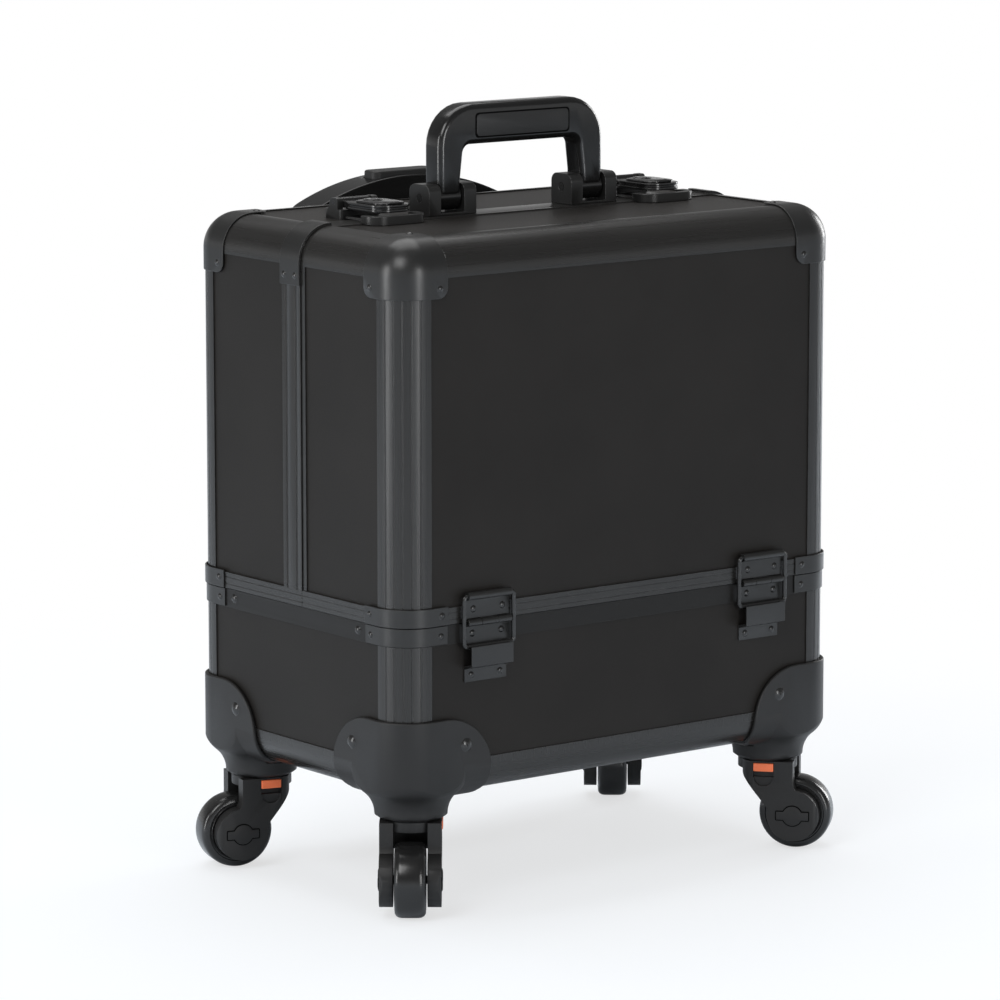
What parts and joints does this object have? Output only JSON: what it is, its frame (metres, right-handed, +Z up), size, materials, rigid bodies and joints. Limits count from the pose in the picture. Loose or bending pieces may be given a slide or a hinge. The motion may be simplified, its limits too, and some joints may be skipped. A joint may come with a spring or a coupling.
{
  "type": "rolling makeup train case",
  "caption": "Upright rolling makeup case in a black metal frame: the front half tips forward on stay hinges and steps out trays; carry handle, pull-up trolley and swivel casters.",
  "frame": {"origin": "on the floor, under the middle of the case body", "axes": "+Z up, -Y towards the front with the stay hinges, +X to the right seen from the front"},
  "size_m": [0.4231, 0.2945, 0.56],
  "materials": {
    "panel_skin": "satin black skin on board",
    "anodised_frame": "black anodised extrusion",
    "black_fitting": "black coated steel",
    "latch_metal": "gloss black",
    "rivet_metal": "satin black",
    "moulded_black": "moulded, matte",
    "wheel_tread": "glossy black tread",
    "orange_tab": "moulded orange",
    "handle_plastic": "satin black",
    "soft_black": "matte black",
    "trolley_tube": "black anodised tube",
    "tray_plastic": "black lined tray"
  },
  "bodies": {
    "case": {"base_floor_panel": "panel_skin", "base_wall_panels": "panel_skin", "base_edge_rails": "anodised_frame", "base_seam_frame": "anodised_frame", "seam_corner_clips": "black_fitting", "corner_boots": "moulded_black", "rear_wall_panels": "panel_skin", "rear_top_panel": "panel_skin", "rear_edge_rails": "anodised_frame", "rear_corner_caps": "black_fitting", "rear_seam_frame": "anodised_frame", "centre_brackets": "black_fitting", "case_rivets": "rivet_metal", "pivot_screws": "rivet_metal", "handle_brackets": "black_fitting", "hinge_pins": "rivet_metal", "latch_bases": "black_fitting", "trolley_outer_tubes": "trolley_tube", "trolley_brackets": "soft_black", "hinge_lower_leaves": "black_fitting", "stay_guides": "black_fitting"},
    "cover": {"cover_wall_panels": "panel_skin", "cover_top_panel": "panel_skin", "cover_edge_rails": "anodised_frame", "cover_corner_caps": "black_fitting", "cover_seam_frame": "anodised_frame", "cover_corner_clips": "black_fitting", "cover_rivets": "rivet_metal", "latch_strikes": "black_fitting", "hinge_upper_leaves": "black_fitting", "tray_pivot_pins": "rivet_metal"},
    "stays": {"hinge_stays": "rivet_metal"},
    "arms": {"tray_arms": "black_fitting", "arm_rivets": "rivet_metal"},
    "lower_tray": {"lower_tray": "tray_plastic"},
    "upper_tray": {"upper_tray": "tray_plastic"},
    "carry_handle": {"handle_grip": "handle_plastic", "handle_pads": "soft_black"},
    "left_lever": {"latch_lever_left": "latch_metal"},
    "right_lever": {"latch_lever_right": "latch_metal"},
    "left_lock": {"latch_lock_left": "latch_metal"},
    "right_lock": {"latch_lock_right": "latch_metal"},
    "trolley_mid": {"trolley_mid_tubes": "trolley_tube"},
    "trolley_top": {"trolley_inner_tubes": "trolley_tube", "trolley_grip": "handle_plastic"},
    "trolley_push": {"trolley_button": "soft_black"},
    "fork_front_left": {"caster_fork_front_left": "moulded_black"},
    "wheel_front_left": {"caster_wheel_front_left": "wheel_tread"},
    "brake_front_left": {"brake_tab_front_left": "orange_tab"},
    "fork_front_right": {"caster_fork_front_right": "moulded_black"},
    "wheel_front_right": {"caster_wheel_front_right": "wheel_tread"},
    "brake_front_right": {"brake_tab_front_right": "orange_tab"},
    "fork_rear_left": {"caster_fork_rear_left": "moulded_black"},
    "wheel_rear_left": {"caster_wheel_rear_left": "wheel_tread"},
    "brake_rear_left": {"brake_tab_rear_left": "orange_tab"},
    "fork_rear_right": {"caster_fork_rear_right": "moulded_black"},
    "wheel_rear_right": {"caster_wheel_rear_right": "wheel_tread"},
    "brake_rear_right": {"brake_tab_rear_right": "orange_tab"}
  },
  "joints": [
    {"name": "cover_hinge", "type": "hinge", "parent": "case", "child": "cover", "pos_m": [0, -0.1305, 0.21], "axis": [1, 0, 0], "range_deg": [0, 82]},
    {"name": "arm_swing", "type": "hinge", "parent": "case", "child": "arms", "pos_m": [0, -0.076, 0.2035], "axis": [1, 0, 0], "range_deg": [0, 82]},
    {"name": "lower_tray_level", "type": "hinge", "parent": "cover", "child": "lower_tray", "pos_m": [0, -0.09304, 0.30272], "axis": [1, 0, 0], "range_deg": [-82, 0]},
    {"name": "upper_tray_level", "type": "hinge", "parent": "cover", "child": "upper_tray", "pos_m": [0, -0.05183, 0.40471], "axis": [1, 0, 0], "range_deg": [-82, 0]},
    {"name": "stay_swing", "type": "hinge", "parent": "cover", "child": "stays", "pos_m": [0, -0.1305, 0.229], "axis": [1, 0, 0], "range_deg": [-48, 0]},
    {"name": "handle_fold", "type": "hinge", "parent": "case", "child": "carry_handle", "pos_m": [0, 0.003, 0.4935], "axis": [1, 0, 0], "range_deg": [-80, 80]},
    {"name": "trolley_lower_slide", "type": "slide", "parent": "case", "child": "trolley_mid", "axis": [0, 0, 1], "range_m": [0, 0.25]},
    {"name": "trolley_upper_slide", "type": "slide", "parent": "trolley_mid", "child": "trolley_top", "axis": [0, 0, 1], "range_m": [0, 0.25]},
    {"name": "trolley_button_press", "type": "slide", "parent": "trolley_top", "child": "trolley_push", "axis": [0, 0, -1], "range_m": [0, 0.003], "stiffness_N_per_m": 500, "springref_m": -0.002},
    {"name": "left_lever_lift", "type": "hinge", "parent": "case", "child": "left_lever", "pos_m": [-0.124, 0.031, 0.4915], "axis": [1, 0, 0], "range_deg": [-110, 0]},
    {"name": "left_lock_turn", "type": "hinge", "parent": "left_lever", "child": "left_lock", "pos_m": [-0.124, 0.008, 0.491], "axis": [0, 0, 1], "range_deg": [0, 90]},
    {"name": "right_lever_lift", "type": "hinge", "parent": "case", "child": "right_lever", "pos_m": [0.124, 0.031, 0.4915], "axis": [1, 0, 0], "range_deg": [-110, 0]},
    {"name": "right_lock_turn", "type": "hinge", "parent": "right_lever", "child": "right_lock", "pos_m": [0.124, 0.008, 0.491], "axis": [0, 0, 1], "range_deg": [0, 90]},
    {"name": "swivel_front_left", "type": "hinge", "parent": "case", "child": "fork_front_left", "pos_m": [-0.166, -0.092, 0.068], "axis": [0, 0, 1], "continuous": true},
    {"name": "roll_front_left", "type": "hinge", "parent": "fork_front_left", "child": "wheel_front_left", "pos_m": [-0.17955, -0.10934, 0.027], "axis": [0.788, -0.6157, 0], "continuous": true},
    {"name": "brake_press_front_left", "type": "slide", "parent": "fork_front_left", "child": "brake_front_left", "axis": [0, 0, -1], "range_m": [0, 0.004]},
    {"name": "swivel_front_right", "type": "hinge", "parent": "case", "child": "fork_front_right", "pos_m": [0.166, -0.092, 0.068], "axis": [0, 0, 1], "continuous": true},
    {"name": "roll_front_right", "type": "hinge", "parent": "fork_front_right", "child": "wheel_front_right", "pos_m": [0.18043, -0.1086, 0.027], "axis": [0.7547, 0.6561, 0], "continuous": true},
    {"name": "brake_press_front_right", "type": "slide", "parent": "fork_front_right", "child": "brake_front_right", "axis": [0, 0, -1], "range_m": [0, 0.004]},
    {"name": "swivel_rear_left", "type": "hinge", "parent": "case", "child": "fork_rear_left", "pos_m": [-0.166, 0.092, 0.068], "axis": [0, 0, 1], "continuous": true},
    {"name": "roll_rear_left", "type": "hinge", "parent": "fork_rear_left", "child": "wheel_rear_left", "pos_m": [-0.18715, 0.09806, 0.027], "axis": [-0.2756, -0.9613, 0], "continuous": true},
    {"name": "brake_press_rear_left", "type": "slide", "parent": "fork_rear_left", "child": "brake_rear_left", "axis": [0, 0, -1], "range_m": [0, 0.004]},
    {"name": "swivel_rear_right", "type": "hinge", "parent": "case", "child": "fork_rear_right", "pos_m": [0.166, 0.092, 0.068], "axis": [0, 0, 1], "continuous": true},
    {"name": "roll_rear_right", "type": "hinge", "parent": "fork_rear_right", "child": "wheel_rear_right", "pos_m": [0.17955, 0.10934, 0.027], "axis": [-0.788, 0.6157, 0], "continuous": true},
    {"name": "brake_press_rear_right", "type": "slide", "parent": "fork_rear_right", "child": "brake_rear_right", "axis": [0, 0, -1], "range_m": [0, 0.004]}
  ],
  "couplings": [
    {"joint": "arm_swing", "follows": "cover_hinge", "ratio": 1},
    {"joint": "lower_tray_level", "follows": "cover_hinge", "ratio": -1},
    {"joint": "upper_tray_level", "follows": "cover_hinge", "ratio": -1},
    {"joint": "stay_swing", "follows": "cover_hinge", "ratio": -0.58}
  ]
}
